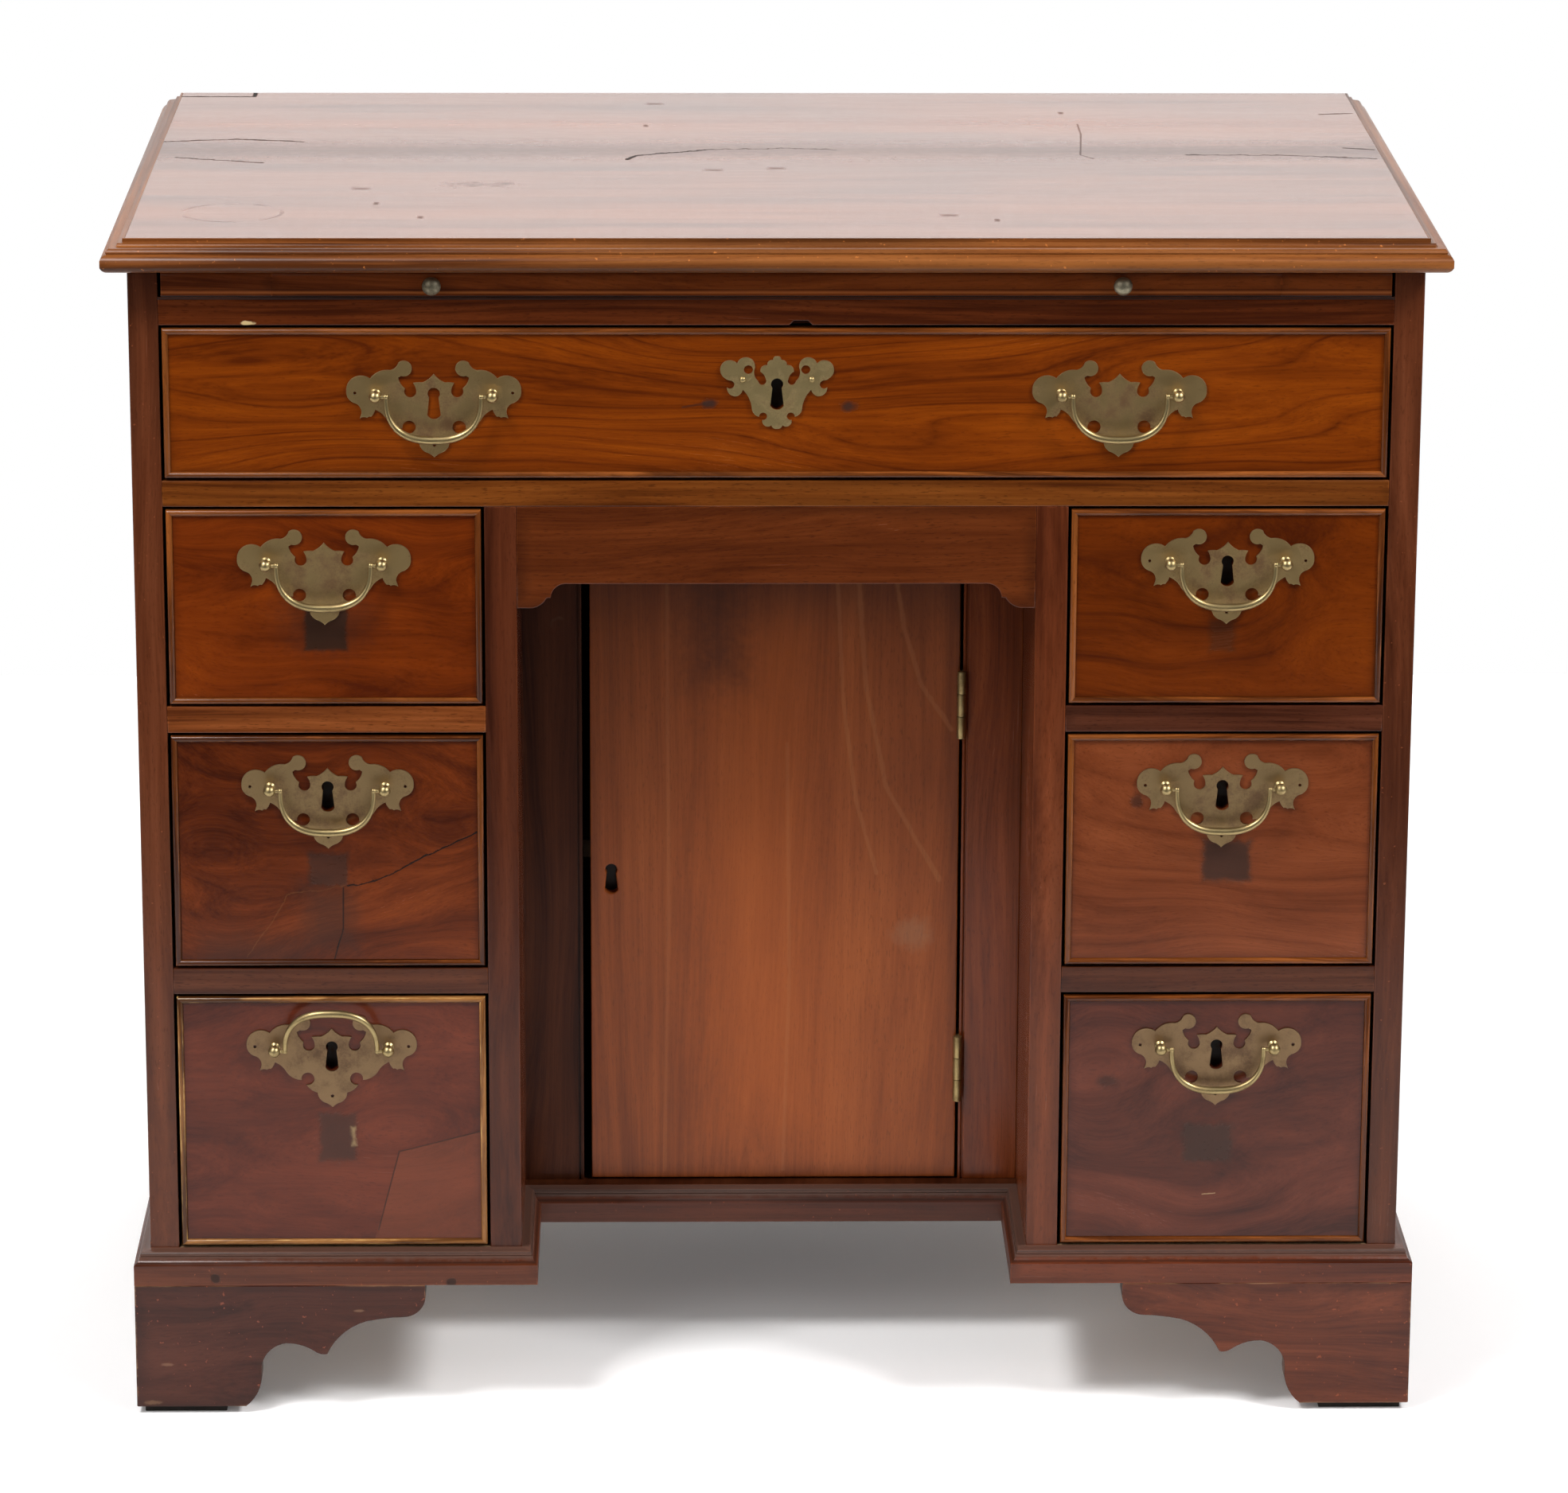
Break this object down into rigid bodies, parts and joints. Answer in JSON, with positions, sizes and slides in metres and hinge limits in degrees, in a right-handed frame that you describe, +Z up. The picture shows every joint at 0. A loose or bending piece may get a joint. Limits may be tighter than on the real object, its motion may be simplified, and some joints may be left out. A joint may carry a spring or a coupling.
{
  "type": "kneehole desk",
  "caption": "Small kneehole desk with a moulded top, brushing slide, long drawer, two pedestals of short drawers, a recessed cupboard, brass bail handles and bracket feet",
  "frame": {"origin": "on the floor under the middle of the top's outline", "axes": "+X to the right along the front, +Y to the back, +Z up"},
  "size_m": [0.85, 0.532, 0.79],
  "materials": {
    "mahogany": "satin French polish, worn",
    "drawer_mahogany": "figured veneer, satin polish",
    "drawer_lining": "bare oak",
    "carcass_deal": "bare softwood",
    "brass": "aged, partly polished",
    "iron": "dull"
  },
  "bodies": {
    "carcass": {"desk_top": "mahogany", "carcass_sides": "mahogany", "kneehole_walls": "mahogany", "back_boards": "carcass_deal", "front_rails": "mahogany", "runners_and_stops": "carcass_deal", "floors_and_shelf": "carcass_deal", "apron": "mahogany", "cupboard_frame": "mahogany", "base_mouldings": "mahogany", "bracket_feet": "mahogany", "frame_hinge_leaves": "brass"},
    "slide": {"brushing_slide": "mahogany", "slide_knobs": "brass"},
    "door": {"cupboard_door": "mahogany", "door_hinge_leaves": "brass", "door_lock": "iron"},
    "door_bolt": {"door_bolt": "iron"},
    "long_drawer": {"long_drawer_front": "drawer_mahogany", "long_drawer_box": "drawer_lining", "long_drawer_plates": "brass", "escutcheon": "brass", "long_drawer_lock": "iron"},
    "long_drawer_bolt": {"long_drawer_bolt": "iron"},
    "bail_long_left": {"bail_long_left": "brass"},
    "bail_long_right": {"bail_long_right": "brass"},
    "drawer_left_1": {"drawer_front_left_1": "drawer_mahogany", "drawer_box_left_1": "drawer_lining", "handle_plate_left_1": "brass"},
    "bail_left_1": {"bail_left_1": "brass"},
    "drawer_left_2": {"drawer_front_left_2": "drawer_mahogany", "drawer_box_left_2": "drawer_lining", "handle_plate_left_2": "brass", "lock_left_2": "iron"},
    "bail_left_2": {"bail_left_2": "brass"},
    "lock_bolt_left_2": {"lock_bolt_left_2": "iron"},
    "drawer_left_3": {"drawer_front_left_3": "drawer_mahogany", "drawer_box_left_3": "drawer_lining", "handle_plate_left_3": "brass", "lock_left_3": "iron"},
    "bail_left_3": {"bail_left_3": "brass"},
    "lock_bolt_left_3": {"lock_bolt_left_3": "iron"},
    "drawer_right_1": {"drawer_front_right_1": "drawer_mahogany", "drawer_box_right_1": "drawer_lining", "handle_plate_right_1": "brass", "lock_right_1": "iron"},
    "bail_right_1": {"bail_right_1": "brass"},
    "lock_bolt_right_1": {"lock_bolt_right_1": "iron"},
    "drawer_right_2": {"drawer_front_right_2": "drawer_mahogany", "drawer_box_right_2": "drawer_lining", "handle_plate_right_2": "brass", "lock_right_2": "iron"},
    "bail_right_2": {"bail_right_2": "brass"},
    "lock_bolt_right_2": {"lock_bolt_right_2": "iron"},
    "drawer_right_3": {"drawer_front_right_3": "drawer_mahogany", "drawer_box_right_3": "drawer_lining", "handle_plate_right_3": "brass", "lock_right_3": "iron"},
    "bail_right_3": {"bail_right_3": "brass"},
    "lock_bolt_right_3": {"lock_bolt_right_3": "iron"}
  },
  "joints": [
    {"name": "slide_pull", "type": "slide", "parent": "carcass", "child": "slide", "axis": [0, -1, 0], "range_m": [0, 0.3]},
    {"name": "door_swing", "type": "hinge", "parent": "carcass", "child": "door", "pos_m": [0.1255, -0.1152, 0.32], "axis": [0, 0, 1], "range_deg": [0, 100]},
    {"name": "door_bolt_throw", "type": "slide", "parent": "door", "child": "door_bolt", "axis": [-1, 0, 0], "range_m": [0, 0.011]},
    {"name": "long_drawer_pull", "type": "slide", "parent": "carcass", "child": "long_drawer", "axis": [0, -1, 0], "range_m": [0, 0.34]},
    {"name": "long_drawer_bolt_throw", "type": "slide", "parent": "long_drawer", "child": "long_drawer_bolt", "axis": [0, 0, 1], "range_m": [0, 0.007]},
    {"name": "bail_long_left_swing", "type": "hinge", "parent": "long_drawer", "child": "bail_long_left", "pos_m": [-0.2175, -0.2525, 0.688], "axis": [-1, 0, 0], "range_deg": [-10, 168]},
    {"name": "bail_long_right_swing", "type": "hinge", "parent": "long_drawer", "child": "bail_long_right", "pos_m": [0.2175, -0.2525, 0.688], "axis": [-1, 0, 0], "range_deg": [-10, 168]},
    {"name": "drawer_left_1_pull", "type": "slide", "parent": "carcass", "child": "drawer_left_1", "axis": [0, -1, 0], "range_m": [0, 0.34]},
    {"name": "bail_left_1_swing", "type": "hinge", "parent": "drawer_left_1", "child": "bail_left_1", "pos_m": [-0.28875, -0.2525, 0.578], "axis": [-1, 0, 0], "range_deg": [-10, 168]},
    {"name": "drawer_left_2_pull", "type": "slide", "parent": "carcass", "child": "drawer_left_2", "axis": [0, -1, 0], "range_m": [0, 0.34]},
    {"name": "bail_left_2_swing", "type": "hinge", "parent": "drawer_left_2", "child": "bail_left_2", "pos_m": [-0.28875, -0.2525, 0.4285], "axis": [-1, 0, 0], "range_deg": [-10, 168]},
    {"name": "lock_bolt_left_2_throw", "type": "slide", "parent": "drawer_left_2", "child": "lock_bolt_left_2", "axis": [0, 0, 1], "range_m": [0, 0.007]},
    {"name": "drawer_left_3_pull", "type": "slide", "parent": "carcass", "child": "drawer_left_3", "axis": [0, -1, 0], "range_m": [0, 0.34]},
    {"name": "bail_left_3_swing", "type": "hinge", "parent": "drawer_left_3", "child": "bail_left_3", "pos_m": [-0.28875, -0.2525, 0.252], "axis": [-1, 0, 0], "range_deg": [-178, 0]},
    {"name": "lock_bolt_left_3_throw", "type": "slide", "parent": "drawer_left_3", "child": "lock_bolt_left_3", "axis": [0, 0, 1], "range_m": [0, 0.007]},
    {"name": "drawer_right_1_pull", "type": "slide", "parent": "carcass", "child": "drawer_right_1", "axis": [0, -1, 0], "range_m": [0, 0.34]},
    {"name": "bail_right_1_swing", "type": "hinge", "parent": "drawer_right_1", "child": "bail_right_1", "pos_m": [0.28875, -0.2525, 0.578], "axis": [-1, 0, 0], "range_deg": [-10, 168]},
    {"name": "lock_bolt_right_1_throw", "type": "slide", "parent": "drawer_right_1", "child": "lock_bolt_right_1", "axis": [0, 0, 1], "range_m": [0, 0.007]},
    {"name": "drawer_right_2_pull", "type": "slide", "parent": "carcass", "child": "drawer_right_2", "axis": [0, -1, 0], "range_m": [0, 0.34]},
    {"name": "bail_right_2_swing", "type": "hinge", "parent": "drawer_right_2", "child": "bail_right_2", "pos_m": [0.28875, -0.2525, 0.4285], "axis": [-1, 0, 0], "range_deg": [-10, 168]},
    {"name": "lock_bolt_right_2_throw", "type": "slide", "parent": "drawer_right_2", "child": "lock_bolt_right_2", "axis": [0, 0, 1], "range_m": [0, 0.007]},
    {"name": "drawer_right_3_pull", "type": "slide", "parent": "carcass", "child": "drawer_right_3", "axis": [0, -1, 0], "range_m": [0, 0.34]},
    {"name": "bail_right_3_swing", "type": "hinge", "parent": "drawer_right_3", "child": "bail_right_3", "pos_m": [0.28875, -0.2525, 0.252], "axis": [-1, 0, 0], "range_deg": [-10, 168]},
    {"name": "lock_bolt_right_3_throw", "type": "slide", "parent": "drawer_right_3", "child": "lock_bolt_right_3", "axis": [0, 0, 1], "range_m": [0, 0.007]}
  ]
}
